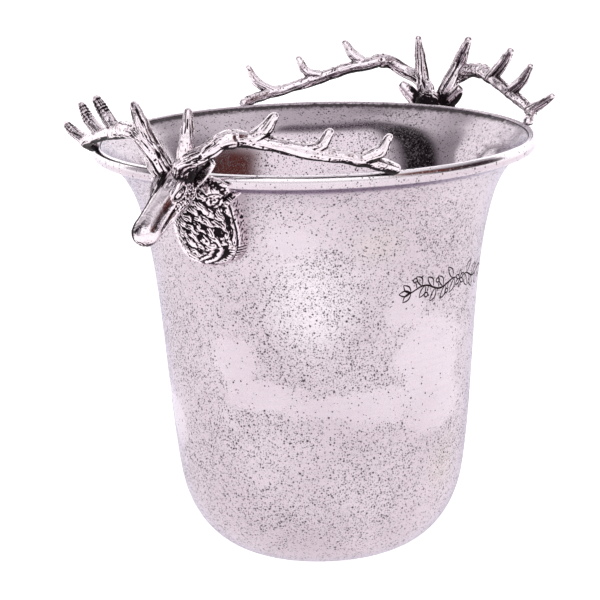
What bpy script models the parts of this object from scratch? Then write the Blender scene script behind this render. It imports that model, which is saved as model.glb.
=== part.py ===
"""Champagne bucket with two stag-head handles: shell, head, neck and antler castings, and their fixings.

Metres, +Z up. The origin is the centre of the base, on the table. The stags face out along +X and -X.
Each casting is modelled in a stag's own frame, in which +X is outward, +Y is the stag's left and the shell's
axis is Z.
"""

import math

import bmesh
import bpy
from mathutils import Euler, Matrix, Vector
from mathutils.geometry import interpolate_bezier

# Driving dimensions
RIM_HEIGHT = 0.229
RIM_RADIUS = 0.120
BASE_RADIUS = 0.031
WALL = 0.0036
FLOOR = 0.0045
GAP = 0.0003
SEAT_GAP = 0.0001

# Shell outline: radius and height at the ends of its stretches
WAIST = (0.0970, RIM_HEIGHT - 0.0316)
SHOULDER = (0.0776, 0.045)
LIP_UNDERSIDE = (0.1146, RIM_HEIGHT - 0.0079)
LIP_HEIGHT = 0.0074
LIP_CREST_RADIUS = 0.1172
SHELL_STEPS = 56

# Screws through the wall into each neck
SCREW_HEIGHT = RIM_HEIGHT - 0.043
SCREW_ANGLE = math.radians(5.0)
SCREW_RADIUS = 0.0020
SCREW_LENGTH = 0.0125
SCREW_HEAD_RADIUS = 0.0038
SCREW_HEAD_HEIGHT = 0.0022
SLOT_WIDTH = 0.0010
SLOT_DEPTH = 0.0011
WASHER_RADIUS = 0.0055
WASHER_THICKNESS = 0.0010
WASHER_SEAT = 0.00047

# Head: an axis from the back of the skull to the nose
SKULL = Vector((0.129, 0.0, RIM_HEIGHT - 0.0025))
MUZZLE_TILT = math.radians(35.5)
EAR_ROOT = Vector((0.1285, 0.0075, RIM_HEIGHT - 0.0030))
EAR_TIP = Vector((0.1285, 0.0205, RIM_HEIGHT + 0.0095))
TENON_RADIUS = 0.0024
TENON_DEPTH = 0.0055
SPIGOT_RADIUS = 0.0040
SPIGOT_LENGTH = 0.0150
SPIGOT_HEADING = Vector((-0.56, 0.0, -0.83))

PEWTER_GREY = (0.72, 0.69, 0.71, 1.0)
ANTIQUE_GREY = (0.46, 0.43, 0.44, 1.0)
STEEL_GREY = (0.60, 0.60, 0.62, 1.0)
RUBBER_BLACK = (0.03, 0.03, 0.03, 1.0)


def above_rim(x, y, z):
    """A point of a casting, with its height given from the rim."""
    return Vector((x, y, RIM_HEIGHT + z))


# Centrelines as (point, radius). The beam runs from the skull over the rim and comes down on the lip.
LEFT_ANTLER = {
    "beam": [
        (above_rim(0.1335, 0.0055, 0.002), 0.0044),
        (above_rim(0.1375, 0.0100, 0.009), 0.0042),
        (above_rim(0.1395, 0.0225, 0.0145), 0.0038),
        (above_rim(0.1345, 0.0310, 0.0205), 0.0036),
        (above_rim(0.1250, 0.0385, 0.0205), 0.0034),
        (above_rim(0.1175, 0.0520, 0.0175), 0.0032),
        (above_rim(0.1110, 0.0660, 0.0140), 0.0031),
        (above_rim(0.0995, 0.0795, 0.0105), 0.0029),
        (above_rim(0.0885, 0.0885, 0.0070), 0.0026),
        (above_rim(0.0745, 0.0940, 0.0012), 0.0022),
    ],
    "tines": [
        [(above_rim(0.1365, 0.0090, 0.007), 0.0040), (above_rim(0.1395, 0.0115, 0.021), 0.0034),
         (above_rim(0.1378, 0.0118, 0.0338), 0.0021)],
        [(above_rim(0.1225, 0.0410, 0.0205), 0.0031), (above_rim(0.1215, 0.0475, 0.0255), 0.0025),
         (above_rim(0.1205, 0.0525, 0.0315), 0.0015)],
        [(above_rim(0.1110, 0.0650, 0.0145), 0.0029), (above_rim(0.1080, 0.0720, 0.0185), 0.0024),
         (above_rim(0.1058, 0.0755, 0.0245), 0.0015)],
        [(above_rim(0.0910, 0.0870, 0.0078), 0.0026), (above_rim(0.0890, 0.0945, 0.0125), 0.0022),
         (above_rim(0.0875, 0.0985, 0.0190), 0.0014)],
    ],
}
RIGHT_ANTLER = {
    "beam": [
        (above_rim(0.1340, -0.0060, 0.002), 0.0044),
        (above_rim(0.1390, -0.0100, 0.011), 0.0042),
        (above_rim(0.1400, -0.0200, 0.0175), 0.0038),
        (above_rim(0.1325, -0.0290, 0.0195), 0.0036),
        (above_rim(0.1240, -0.0400, 0.0195), 0.0034),
        (above_rim(0.1175, -0.0520, 0.0175), 0.0032),
        (above_rim(0.1105, -0.0635, 0.0140), 0.0031),
        (above_rim(0.1020, -0.0755, 0.0095), 0.0029),
        (above_rim(0.0925, -0.0850, 0.0060), 0.0026),
        (above_rim(0.0785, -0.0905, 0.0012), 0.0022),
    ],
    "tines": [
        [(above_rim(0.1385, -0.0095, 0.009), 0.0040), (above_rim(0.1400, -0.0150, 0.022), 0.0034),
         (above_rim(0.1360, -0.0210, 0.0350), 0.0021)],
        [(above_rim(0.1205, -0.0440, 0.0195), 0.0031), (above_rim(0.1200, -0.0520, 0.0260), 0.0025),
         (above_rim(0.1185, -0.0578, 0.0338), 0.0015)],
        [(above_rim(0.1110, -0.0620, 0.0145), 0.0029), (above_rim(0.1075, -0.0710, 0.0195), 0.0024),
         (above_rim(0.1045, -0.0775, 0.0272), 0.0015)],
        [(above_rim(0.0940, -0.0835, 0.0068), 0.0026), (above_rim(0.0930, -0.0920, 0.0092), 0.0022),
         (above_rim(0.0912, -0.0975, 0.0142), 0.0014)],
    ],
}

# Neck sections, bottom to top: height from the rim, centre's distance out, depth in front and half width
NECK_SECTIONS = [
    (-0.0512, 0.0980, 0.0060, 0.0060),
    (-0.0485, 0.0990, 0.0115, 0.0112),
    (-0.0425, 0.1003, 0.0165, 0.0160),
    (-0.0330, 0.1022, 0.0190, 0.0180),
    (-0.0230, 0.1050, 0.0185, 0.0182),
    (-0.0140, 0.1105, 0.0155, 0.0195),
    (-0.0075, 0.1165, 0.0100, 0.0222),
    (-0.0020, 0.1185, 0.0065, 0.0210),
]
NECK_BACK = 0.030

# Head sections, skull to nose: distance along the axis, centre's rise over it, half height and half width
HEAD_SECTIONS = [
    (-0.0085, -0.0005, 0.0045, 0.0045),
    (-0.0050, -0.0008, 0.0083, 0.0080),
    (0.0010, -0.0012, 0.0105, 0.0100),
    (0.0080, -0.0015, 0.0108, 0.0105),
    (0.0150, -0.0012, 0.0096, 0.0086),
    (0.0230, -0.0002, 0.0079, 0.0067),
    (0.0310, 0.0004, 0.0069, 0.0064),
    (0.0375, 0.0006, 0.0063, 0.0060),
    (0.0415, 0.0008, 0.0050, 0.0047),
    (0.0433, 0.0010, 0.0024, 0.0024),
]


# Helpers

def clear_scene():
    for obj in list(bpy.data.objects):
        bpy.data.objects.remove(obj, do_unlink=True)


def material(name, colour, metallic, roughness):
    made = bpy.data.materials.new(name)
    made.use_nodes = True
    surface = made.node_tree.nodes["Principled BSDF"]
    surface.inputs["Base Color"].default_value = colour
    surface.inputs["Metallic"].default_value = metallic
    surface.inputs["Roughness"].default_value = roughness
    return made


def new_object(name, mesh):
    obj = bpy.data.objects.new(name, mesh)
    bpy.context.scene.collection.objects.link(obj)
    return obj


def mesh_from(name, form):
    """Turns a bmesh into a mesh whose faces point outwards."""
    bmesh.ops.recalc_face_normals(form, faces=form.faces)
    mesh = bpy.data.meshes.new(name)
    form.to_mesh(mesh)
    form.free()
    return mesh


def bezier(start, start_handle, end_handle, end, count):
    """Points of a cubic curve in the radius and height plane, with its first point left out."""
    knots = [Vector((*knot, 0.0)) for knot in (start, start_handle, end_handle, end)]
    return [(point.x, point.y) for point in interpolate_bezier(*knots, count + 1)[1:]]


def revolve(name, outline, steps):
    """A closed solid from an outline of (radius, height) that starts and ends on the axis."""
    form = bmesh.new()
    corners = [form.verts.new((radius, 0.0, height)) for radius, height in outline]
    edges = [form.edges.new(pair) for pair in zip(corners, corners[1:])]
    bmesh.ops.spin(form, geom=corners + edges, cent=(0, 0, 0), axis=(0, 0, 1), angle=math.tau,
                   steps=steps, use_merge=True)
    bmesh.ops.remove_doubles(form, verts=form.verts, dist=0.00001)
    return mesh_from(name, form)


def loft(name, rings):
    """A closed solid through rings of equally many points, with each end closed by a fan."""
    form = bmesh.new()
    loops = [[form.verts.new(point) for point in ring] for ring in rings]
    for lower, upper in zip(loops, loops[1:]):
        for i in range(len(lower)):
            j = (i + 1) % len(lower)
            form.faces.new((lower[i], lower[j], upper[j], upper[i]))
    for loop in (loops[0], loops[-1]):
        centre = form.verts.new(sum((corner.co for corner in loop), Vector()) / len(loop))
        for i in range(len(loop)):
            form.faces.new((loop[i], loop[(i + 1) % len(loop)], centre))
    return mesh_from(name, form)


def ellipse(centre, across, along, sides):
    """Points of an ellipse round centre with the half axes across and along."""
    turns = [math.tau * i / sides for i in range(sides)]
    return [centre + across * math.cos(turn) + along * math.sin(turn) for turn in turns]


def tube(name, path, sides, per_span=2):
    """A round bar along a smooth centreline of (point, radius), with a domed far end."""
    points = [point for point, _ in path]
    points = [2 * points[0] - points[1]] + points + [2 * points[-1] - points[-2]]
    stations = []
    for i in range(len(path) - 1):
        before, start, end, after = points[i:i + 4]
        handles = (start, start + (end - before) / 6, end - (after - start) / 6, end)
        curve = interpolate_bezier(*handles, per_span + 1)
        for k, point in enumerate(curve[:-1]):
            share = k / per_span
            stations.append((point, path[i][1] * (1 - share) + path[i + 1][1] * share))
    tip, tip_radius = path[-1]
    heading = (points[-2] - points[-3]).normalized()
    stations += [(tip, tip_radius), (tip + heading * tip_radius * 0.6, tip_radius * 0.72),
                 (tip + heading * tip_radius * 0.9, tip_radius * 0.3)]
    rings = []
    side = (stations[1][0] - stations[0][0]).orthogonal().normalized()
    for i, (point, radius) in enumerate(stations):
        ahead = (stations[min(i + 1, len(stations) - 1)][0] - stations[max(i - 1, 0)][0]).normalized()
        side = (side - ahead * side.dot(ahead)).normalized()
        rings.append(ellipse(point, side * radius, ahead.cross(side) * radius, sides))
    return loft(name, rings)


def rod(name, start, end, radius, sides=16):
    """A straight round bar from start to end."""
    ahead = (end - start).normalized()
    side = ahead.orthogonal().normalized() * radius
    return loft(name, [ellipse(point, side, ahead.cross(side), sides) for point in (start, end)])


def combine(obj, operation, mesh):
    """Joins a mesh to obj, or cuts it away, with a Boolean modifier and a hidden helper."""
    helper = new_object(f"{mesh.name}_tool", mesh)
    helper.hide_render = True
    helper.display_type = "WIRE"
    helper.hide_set(True)
    boolean = obj.modifiers.new(mesh.name, "BOOLEAN")
    boolean.operation = operation
    boolean.object = helper


def finished(obj):
    """The mesh of obj with its modifiers applied, and obj and its helpers removed."""
    graph = bpy.context.evaluated_depsgraph_get()
    mesh = bpy.data.meshes.new_from_object(obj.evaluated_get(graph))
    mesh.name = obj.name
    for modifier in obj.modifiers:
        bpy.data.objects.remove(modifier.object, do_unlink=True)
    bpy.data.objects.remove(obj, do_unlink=True)
    return mesh


def smooth(mesh, sharp_degrees):
    mesh.shade_smooth()
    mesh.set_sharp_from_angle(angle=math.radians(sharp_degrees))


# Shell

def outer_wall(outset=0.0):
    """Outline of the outside from the centre of the base to the lip's underside, pushed out by outset."""
    (shoulder_r, shoulder_z), (waist_r, waist_z), (under_r, under_z) = SHOULDER, WAIST, LIP_UNDERSIDE
    points = [(BASE_RADIUS, 0.0)]
    points += bezier(points[-1], (BASE_RADIUS + 0.0250, 0.0),
                     (shoulder_r - 0.0043, shoulder_z - 0.0266), SHOULDER, 8)
    points += bezier(points[-1], (shoulder_r + 0.0077, shoulder_z + 0.0482),
                     (waist_r - 0.0129, waist_z - 0.0392), WAIST, 8)
    points += bezier(points[-1], (waist_r + 0.0031, waist_z + 0.0094),
                     (under_r - 0.0083, under_z - 0.0035), LIP_UNDERSIDE, 7)
    if not outset:
        return points
    return offset(points, outset)


def offset(points, distance):
    """The open outline moved sideways, to the right of its direction of travel if distance is positive."""
    moved = []
    for i, (radius, height) in enumerate(points):
        before, after = points[max(i - 1, 0)], points[min(i + 1, len(points) - 1)]
        along = Vector((after[0] - before[0], after[1] - before[1])).normalized()
        moved.append((radius + along.y * distance, height - along.x * distance))
    return moved


def lip(outset=0.0):
    """The lip's rounded outer face, from its underside to the crest."""
    low = (RIM_RADIUS - 0.0016 + outset, RIM_HEIGHT - LIP_HEIGHT)
    face = (RIM_RADIUS + outset, RIM_HEIGHT - 0.0040)
    crest = (LIP_CREST_RADIUS, RIM_HEIGHT + outset)
    points = [low]
    points += bezier(low, (RIM_RADIUS - 0.0004 + outset, low[1] + 0.0002),
                     (face[0], face[1] - 0.0016), face, 3)
    points += bezier(face, (face[0], face[1] + 0.0024), (crest[0] + 0.0018, crest[1]), crest, 4)
    return points


def shell_mesh():
    outer = outer_wall()
    inner = offset(outer[::-1], WALL)
    inner[0] = (LIP_CREST_RADIUS - 0.0016, RIM_HEIGHT - 0.0010)
    floor_radius = inner[-1][0]
    inner[-1] = (floor_radius, FLOOR)
    outline = [(0.0, 0.0)] + outer + lip() + inner + [(0.0, FLOOR)]
    return revolve("bucket_shell", outline, SHELL_STEPS)


def envelope_mesh():
    """The solid that the shell and its lip fill, grown by the gap, which the castings are fitted to."""
    outline = [(0.0, -GAP)] + outer_wall(GAP)[:-1] + lip(GAP)
    outline += [(LIP_CREST_RADIUS - 0.0030, RIM_HEIGHT + GAP), (0.0, RIM_HEIGHT - 0.002)]
    return revolve("envelope", outline, SHELL_STEPS)


def wall_frame(side):
    """Place on the inner wall of a screw, with +Z along its shank. side is 1 or -1."""
    outer = outer_wall()
    upper = next(i for i, (_, height) in enumerate(outer) if height > SCREW_HEIGHT)
    low, high = (Vector((*outer[i], 0)) for i in (upper - 1, upper))
    share = (SCREW_HEIGHT - low.y) / (high.y - low.y)
    radius = low.x + (high.x - low.x) * share
    lean = math.atan2(high.x - low.x, high.y - low.y)
    turn = Matrix.Rotation(side * SCREW_ANGLE, 4, "Z")
    outward = Euler((0, math.radians(90) + lean, 0)).to_matrix().to_4x4()
    inner = Vector((radius - WALL * math.cos(lean), 0, SCREW_HEIGHT + WALL * math.sin(lean)))
    return turn @ Matrix.Translation(inner) @ outward


# Fixings, modelled on +Z with the inner wall at height 0

def screw_mesh():
    top = WASHER_SEAT + WASHER_THICKNESS + SEAT_GAP
    crown = top + SCREW_HEAD_HEIGHT
    outline = [(0.0, SCREW_LENGTH), (SCREW_RADIUS * 0.7, SCREW_LENGTH), (SCREW_RADIUS, SCREW_LENGTH - 0.0006),
               (SCREW_RADIUS, -top), (SCREW_HEAD_RADIUS, -top), (SCREW_HEAD_RADIUS, -top - 0.0010),
               (SCREW_HEAD_RADIUS * 0.8, -crown + 0.0003), (SCREW_HEAD_RADIUS * 0.45, -crown), (0.0, -crown)]
    body = new_object("screw", revolve("screw", outline, 16))
    slot = bmesh.new()
    place = Matrix.Translation((0, 0, -crown)) @ Matrix.Diagonal(
        (SCREW_HEAD_RADIUS * 3, SLOT_WIDTH, SLOT_DEPTH * 2, 1))
    bmesh.ops.create_cube(slot, size=1.0, matrix=place)
    combine(body, "DIFFERENCE", mesh_from("slot", slot))
    return finished(body)


def washer_mesh():
    near, far = -WASHER_SEAT, -WASHER_SEAT - WASHER_THICKNESS
    bore = SCREW_RADIUS + GAP
    form = bmesh.new()
    loops = []
    for radius, height in ((bore, near), (WASHER_RADIUS, near), (WASHER_RADIUS, far), (bore, far)):
        ring = ellipse(Vector((0, 0, height)), Vector((radius, 0, 0)), Vector((0, radius, 0)), 20)
        loops.append([form.verts.new(point) for point in ring])
    for inner, outer in zip(loops, loops[1:] + loops[:1]):
        for i in range(len(inner)):
            j = (i + 1) % len(inner)
            form.faces.new((inner[i], inner[j], outer[j], outer[i]))
    return mesh_from("washer", form)


# Castings

def along_head(distance):
    """A point on the head's axis."""
    return SKULL + Vector((math.cos(MUZZLE_TILT), 0, -math.sin(MUZZLE_TILT))) * distance


def head_form(name, grow=0.0):
    """Skull and muzzle without ears, grown by a clearance."""
    upward = Vector((math.sin(MUZZLE_TILT), 0, math.cos(MUZZLE_TILT)))
    ends = (HEAD_SECTIONS[0][0], HEAD_SECTIONS[-1][0])
    rings = []
    for distance, rise, half_height, half_width in HEAD_SECTIONS:
        stretch = grow * ((distance == ends[1]) - (distance == ends[0]))
        rings.append(ellipse(along_head(distance + stretch) + upward * rise, upward * (half_height + grow),
                             Vector((0, half_width + grow, 0)), 16))
    return loft(name, rings)


def ear_mesh(name, side):
    """A flattened leaf from the side of the skull. side is 1 for the left ear and -1 for the right."""
    root, tip = (Vector((p.x, side * p.y, p.z)) for p in (EAR_ROOT, EAR_TIP))
    length = tip - root
    thick = Vector((1, 0, 0)) * 0.0016
    wide = length.normalized().cross(Vector((1, 0, 0)))
    rings = []
    for share, half_width in ((0.0, 0.0026), (0.3, 0.0046), (0.6, 0.0048), (0.85, 0.0028), (1.0, 0.0008)):
        rings.append(ellipse(root + length * share, wide * half_width, thick * (1.1 - 0.5 * share), 10))
    return loft(name, rings)


def tenon(name, antler, grow=0.0):
    """The peg on an antler's root that sits in the skull."""
    root, onward = antler["beam"][0][0], antler["beam"][1][0]
    inward = (root - onward).normalized()
    return rod(name, root - inward * 0.002, root + inward * (TENON_DEPTH + grow), TENON_RADIUS + grow)


def spigot(name, grow=0.0):
    """The peg under the skull that sits in the neck."""
    start = along_head(-0.002)
    end = start + SPIGOT_HEADING.normalized() * (SPIGOT_LENGTH + grow)
    return rod(name, start, end, SPIGOT_RADIUS + grow)


def head_mesh():
    head = new_object("head", head_form("head"))
    for side, name in ((1, "left_ear"), (-1, "right_ear")):
        combine(head, "UNION", ear_mesh(name, side))
    combine(head, "UNION", spigot("spigot"))
    for name, antler in (("left_socket", LEFT_ANTLER), ("right_socket", RIGHT_ANTLER)):
        combine(head, "DIFFERENCE", tenon(name, antler, GAP))
    combine(head, "DIFFERENCE", envelope_mesh())
    return finished(head)


def neck_mesh():
    """A domed front on straight sides that run back to the wall."""
    rings = []
    for height, centre, depth, half_width in NECK_SECTIONS:
        turns = [math.radians(-90 + 15 * i) for i in range(13)]
        ring = [above_rim(centre + depth * math.cos(turn), half_width * math.sin(turn), height)
                for turn in turns]
        ring += [above_rim(centre - NECK_BACK, side * half_width, height) for side in (1, -1)]
        rings.append(ring)
    neck = new_object("neck", loft("neck", rings))
    combine(neck, "DIFFERENCE", envelope_mesh())
    for side in (1, -1):
        place = wall_frame(side)
        hole = rod("screw_hole", place @ Vector(), place @ Vector((0, 0, SCREW_LENGTH + 2 * GAP)),
                   SCREW_RADIUS + GAP)
        combine(neck, "DIFFERENCE", hole)
    combine(neck, "DIFFERENCE", head_form("head_clearance", GAP))
    combine(neck, "DIFFERENCE", spigot("spigot_socket", GAP))
    return finished(neck)


def antler_mesh(name, antler):
    body = new_object(name, tube("beam", antler["beam"], 8))
    for i, tine in enumerate(antler["tines"]):
        combine(body, "UNION", tube(f"tine_{i}", tine, 8))
    combine(body, "DIFFERENCE", head_form("head_clearance", GAP))
    combine(body, "UNION", tenon("tenon", antler))
    combine(body, "DIFFERENCE", envelope_mesh())
    return finished(body)


# Assembly

def build():
    clear_scene()
    pewter = material("bucket_metal", PEWTER_GREY, 1.0, 0.30)
    antique = material("casting_metal", ANTIQUE_GREY, 1.0, 0.38)
    steel = material("fixing_steel", STEEL_GREY, 1.0, 0.35)
    rubber = material("sealing_rubber", RUBBER_BLACK, 0.0, 0.75)

    castings = {
        "head": head_mesh(),
        "neck": neck_mesh(),
        "left_antler": antler_mesh("left_antler", LEFT_ANTLER),
        "right_antler": antler_mesh("right_antler", RIGHT_ANTLER),
    }
    fixings = {"screw": screw_mesh(), "washer": washer_mesh()}
    for mesh in castings.values():
        mesh.materials.append(antique)
        smooth(mesh, 50)
    fixings["screw"].materials.append(steel)
    fixings["washer"].materials.append(rubber)
    for mesh in fixings.values():
        smooth(mesh, 30)

    shell = new_object("bucket_shell", shell_mesh())
    shell.data.materials.append(pewter)
    for stag, turn in (("right", 0.0), ("left", math.pi)):
        mount = bpy.data.objects.new(f"{stag}_stag", None)
        bpy.context.scene.collection.objects.link(mount)
        mount.rotation_euler.z = turn
        for name, mesh in castings.items():
            new_object(f"{stag}_stag_{name}", mesh).parent = mount
        for side, mark in ((1, "a"), (-1, "b")):
            place = wall_frame(side)
            for name, mesh in fixings.items():
                fixing = new_object(f"{stag}_stag_{name}_{mark}", mesh)
                fixing.parent = mount
                fixing.matrix_local = place
            around = Matrix.Rotation(turn, 4, "Z") @ place
            inside, outside = around @ Vector((0, 0, -WALL)), around @ Vector((0, 0, 2 * WALL))
            hole = rod(f"{stag}_hole_{mark}", inside, outside, SCREW_RADIUS + GAP)
            combine(shell, "DIFFERENCE", hole)
    smooth(shell.data, 30)


build()
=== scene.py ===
"""Looks of the champagne bucket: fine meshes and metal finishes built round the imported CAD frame.

The shell is worked in metres. The castings are modelled in millimetres in a stag's own frame: +X is outward,
+Y is the stag's left and heights are counted from the rim. At the end they are scaled and turned into place.
"""

import math
import random

import bmesh
import bpy
import numpy as np
from mathutils import Matrix, Vector, kdtree, noise


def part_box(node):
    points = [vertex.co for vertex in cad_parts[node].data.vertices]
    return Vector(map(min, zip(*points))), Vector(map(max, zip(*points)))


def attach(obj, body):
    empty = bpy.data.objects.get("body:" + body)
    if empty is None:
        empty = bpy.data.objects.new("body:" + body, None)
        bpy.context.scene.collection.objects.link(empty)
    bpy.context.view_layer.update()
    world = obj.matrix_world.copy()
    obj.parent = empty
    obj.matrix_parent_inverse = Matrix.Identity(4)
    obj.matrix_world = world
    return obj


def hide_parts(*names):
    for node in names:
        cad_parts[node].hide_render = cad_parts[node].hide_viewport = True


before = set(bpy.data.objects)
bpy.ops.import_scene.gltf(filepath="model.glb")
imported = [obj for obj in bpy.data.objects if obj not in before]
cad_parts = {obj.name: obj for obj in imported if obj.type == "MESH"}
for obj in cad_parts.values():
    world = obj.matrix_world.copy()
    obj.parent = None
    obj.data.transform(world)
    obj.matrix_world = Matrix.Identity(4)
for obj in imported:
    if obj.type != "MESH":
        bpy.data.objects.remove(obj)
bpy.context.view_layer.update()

MM = 0.001
SHELL = "bucket_shell"
RIM_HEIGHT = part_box(SHELL)[1].z
RIM_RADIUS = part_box(SHELL)[1].y

# View: the camera's place round the bucket, with its lens
CAMERA_AZIMUTH = math.radians(-58.0)
CAMERA_DISTANCE = 1.5
CAMERA_RISE = 0.2553
CAMERA_PITCH = math.radians(13.0)
CAMERA_YAW = math.radians(-0.38)
CAMERA_ROLL = math.radians(-1.53)
CAMERA_LENS = 168.4
CAMERA_SENSOR = 36.0

# Shell
SHELL_COLUMNS = 240
ROW_SPACING = 0.0022
WOBBLE = 0.00012
ENGRAVING_DEPTH = 0.00032
ENGRAVING_CENTRE = (0.0, RIM_HEIGHT - 0.0705)
ENGRAVING_HALF_LENGTH = 0.0465
PIT_COUNT = 430

# Castings, in millimetres
ANTLER_VOXEL = 0.34
ANTLER_STOUTNESS = 1.26
HEAD_VOXEL = 0.30
NECK_VOXEL = 0.36
MUZZLE_TILT = math.radians(35.5)
SKULL = Vector((129.0, 0.0, -2.5))
BLOCK = 4000  # points in one step of array work, to save memory

# Antler patterns: a beam from the skull to the lip, and its tines from the root on, as (point, radius)
LEFT_ANTLER = {
    "beam": [
        ((130.5, 3.5, -3.0), 4.6), ((133.5, 5.5, 2.0), 4.7), ((137.5, 10.0, 9.0), 4.1),
        ((139.5, 22.5, 14.5), 3.7), ((134.5, 31.0, 20.5), 3.6), ((130.0, 34.5, 21.5), 3.9),
        ((125.0, 38.5, 20.5), 3.4), ((117.5, 52.0, 17.5), 3.2), ((111.0, 66.0, 14.0), 3.3),
        ((99.5, 79.5, 10.5), 2.9), ((88.5, 88.5, 7.0), 3.0), ((74.5, 94.0, 1.5), 2.6),
    ],
    "tines": [
        [((134.5, 7.5, 3.0), 4.2), ((139.0, 12.0, 16.0), 3.5), ((139.5, 13.0, 25.0), 2.8),
         ((138.0, 13.0, 34.5), 1.9)],
        [((124.0, 40.0, 20.0), 3.0), ((121.5, 47.0, 25.0), 2.9), ((120.5, 52.5, 32.0), 2.1)],
        [((112.5, 62.5, 14.5), 2.9), ((108.0, 71.5, 17.5), 2.6), ((106.0, 75.5, 23.5), 2.0)],
        [((93.0, 85.0, 8.5), 2.7), ((89.0, 94.0, 12.5), 2.6), ((87.5, 98.5, 19.5), 2.0)],
    ],
}
RIGHT_ANTLER = {
    "beam": [
        ((130.5, -3.5, -3.0), 4.5), ((134.0, -6.5, 3.0), 4.2), ((138.0, -9.5, 11.0), 3.8),
        ((139.0, -17.0, 16.0), 3.5), ((134.5, -26.0, 19.0), 3.4), ((129.0, -34.0, 20.0), 3.5),
        ((124.0, -41.0, 19.0), 3.2), ((117.5, -52.0, 16.5), 2.8), ((110.5, -63.5, 13.0), 2.7),
        ((102.5, -75.0, 9.5), 2.7), ((93.0, -84.0, 5.5), 2.7), ((82.0, -88.0, 1.5), 2.5),
    ],
    "tines": [
        [((134.0, -7.0, 4.5), 4.2), ((138.5, -12.5, 18.0), 3.5), ((138.5, -16.5, 27.5), 3.0),
         ((136.5, -21.0, 35.5), 2.0)],
        [((122.0, -43.0, 19.0), 2.9), ((119.5, -51.5, 26.5), 2.6), ((117.5, -58.0, 33.5), 1.9)],
        [((112.5, -60.0, 14.0), 2.7), ((108.0, -71.0, 21.5), 2.4), ((105.0, -77.0, 27.5), 1.8)],
        [((96.5, -80.5, 7.0), 2.5), ((94.0, -91.0, 10.5), 2.2), ((92.0, -97.0, 14.0), 1.7)],
    ],
}

# How each antler leaves its pattern: stoutness, and bends of the beam as (distance to the side, spread, rise)
FRONT_LEFT = (1.0, [])
REAR_LEFT = (0.86, [(80.0, 20.0, -3.5)])
FRONT_RIGHT = (1.0, [(17.0, 9.0, 5.0), (28.0, 8.0, 1.5)])
REAR_RIGHT = (0.96, [(12.0, 6.0, 1.5), (66.0, 26.0, -3.5)])

# Head sections in its own frame: distance from the skull, centre's rise, half height and half width
HEAD_SECTIONS = [
    (-9.2, -0.5, 2.0, 2.0), (-8.0, -0.6, 5.2, 5.0), (-5.0, -0.8, 8.3, 8.0), (1.0, -1.2, 10.5, 9.8),
    (8.0, -1.5, 10.7, 9.9), (15.0, -1.4, 9.8, 8.3), (23.0, -0.7, 8.7, 7.0), (31.0, 0.0, 7.9, 6.7),
    (37.0, 0.4, 7.2, 7.0), (40.8, 0.6, 6.0, 6.1), (43.2, 0.8, 3.9, 4.0), (44.2, 0.9, 1.5, 1.5),
]

# Head modelling on the left side, mirrored to the right, in millimetres of height along a path or on a spot
HEAD_CREASES = [
    (-0.9, [(14.0, 7.4, 2.2), (17.0, 7.2, 0.6), (19.5, 6.8, -0.6)], 0.95),
    (-1.0, [(20.0, 6.9, -0.9), (27.0, 6.0, -1.5), (33.0, 6.0, -1.8)], 1.9),
    (0.45, [(18.0, 6.6, -5.4), (25.0, 5.6, -4.8), (31.5, 5.4, -4.4)], 1.3),
    (0.35, [(22.0, 5.2, -8.0), (28.0, 5.0, -7.6), (33.0, 4.6, -6.4)], 1.3),
    (-0.75, [(25.0, 5.2, -4.6), (31.0, 5.2, -4.0), (37.0, 5.0, -2.9), (41.5, 2.4, -1.8), (43.0, 0.0, -1.5)],
     0.7),
    (0.5, [(9.0, 9.0, -2.5), (16.0, 7.6, -3.4), (22.0, 6.2, -4.0)], 2.4),
    (-0.7, [(-1.0, 9.4, 2.0), (3.0, 9.6, -3.0), (6.0, 8.4, -8.0)], 1.3),
]
HEAD_SPOTS = [
    (-0.6, (12.5, 3.0, 8.2), (6.5, 2.6, 4.0)), (0.5, (27.0, 0.0, 7.5), (15.0, 4.2, 4.0)),
    (-0.7, (40.6, 4.0, 3.0), (2.2, 1.6, 1.4)), (0.35, (39.2, 4.6, 3.6), (2.0, 2.0, 2.0)),
]
EYE = np.array((11.6, 8.4, 3.6))
EAR_ROOT = np.array((128.0, 6.5, -4.0))
EAR_TIP = np.array((128.8, 20.0, 9.0))

# Neck sections, bottom to top: height, centre's distance out, depth in front of it and half width
NECK_SECTIONS = [
    (-51.2, 98.0, 5.0, 5.0), (-48.5, 99.0, 11.2, 10.8), (-42.5, 100.3, 16.0, 15.6),
    (-33.0, 102.2, 18.4, 17.6), (-23.0, 105.0, 18.0, 17.8), (-14.0, 110.5, 15.0, 19.2),
    (-7.5, 116.5, 9.6, 21.8), (-2.4, 118.5, 6.0, 20.4),
]
NECK_EMBED = 1.0

# Rolled locks at the neck's collar, on the stag's left: centre, the way it faces, radius and sense
CURLS = [
    ((119.0, 14.6, -12.6), (0.80, 0.60, 0.10), 3.4, 1),
    ((121.5, 9.5, -6.0), (0.80, 0.35, 0.50), 2.4, -1),
    ((114.8, 19.6, -6.6), (0.55, 0.80, 0.20), 2.5, -1),
]
CURL_TURNS = 1.35
CURL_THICKNESS = 0.85

# Loose strands on the left of the collar, as (point, radius)
STRANDS = [
    [((120.0, 9.0, -2.5), 2.2), ((120.5, 16.0, -3.0), 2.0), ((119.8, 22.5, -5.0), 1.3)],
    [((116.5, 19.5, -15.0), 1.6), ((113.0, 22.0, -11.5), 1.5), ((110.5, 24.5, -10.0), 0.7)],
]


# Objects and smooth curves

def new_object(name, data):
    obj = bpy.data.objects.new(name, data)
    bpy.context.scene.collection.objects.link(obj)
    return obj


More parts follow.
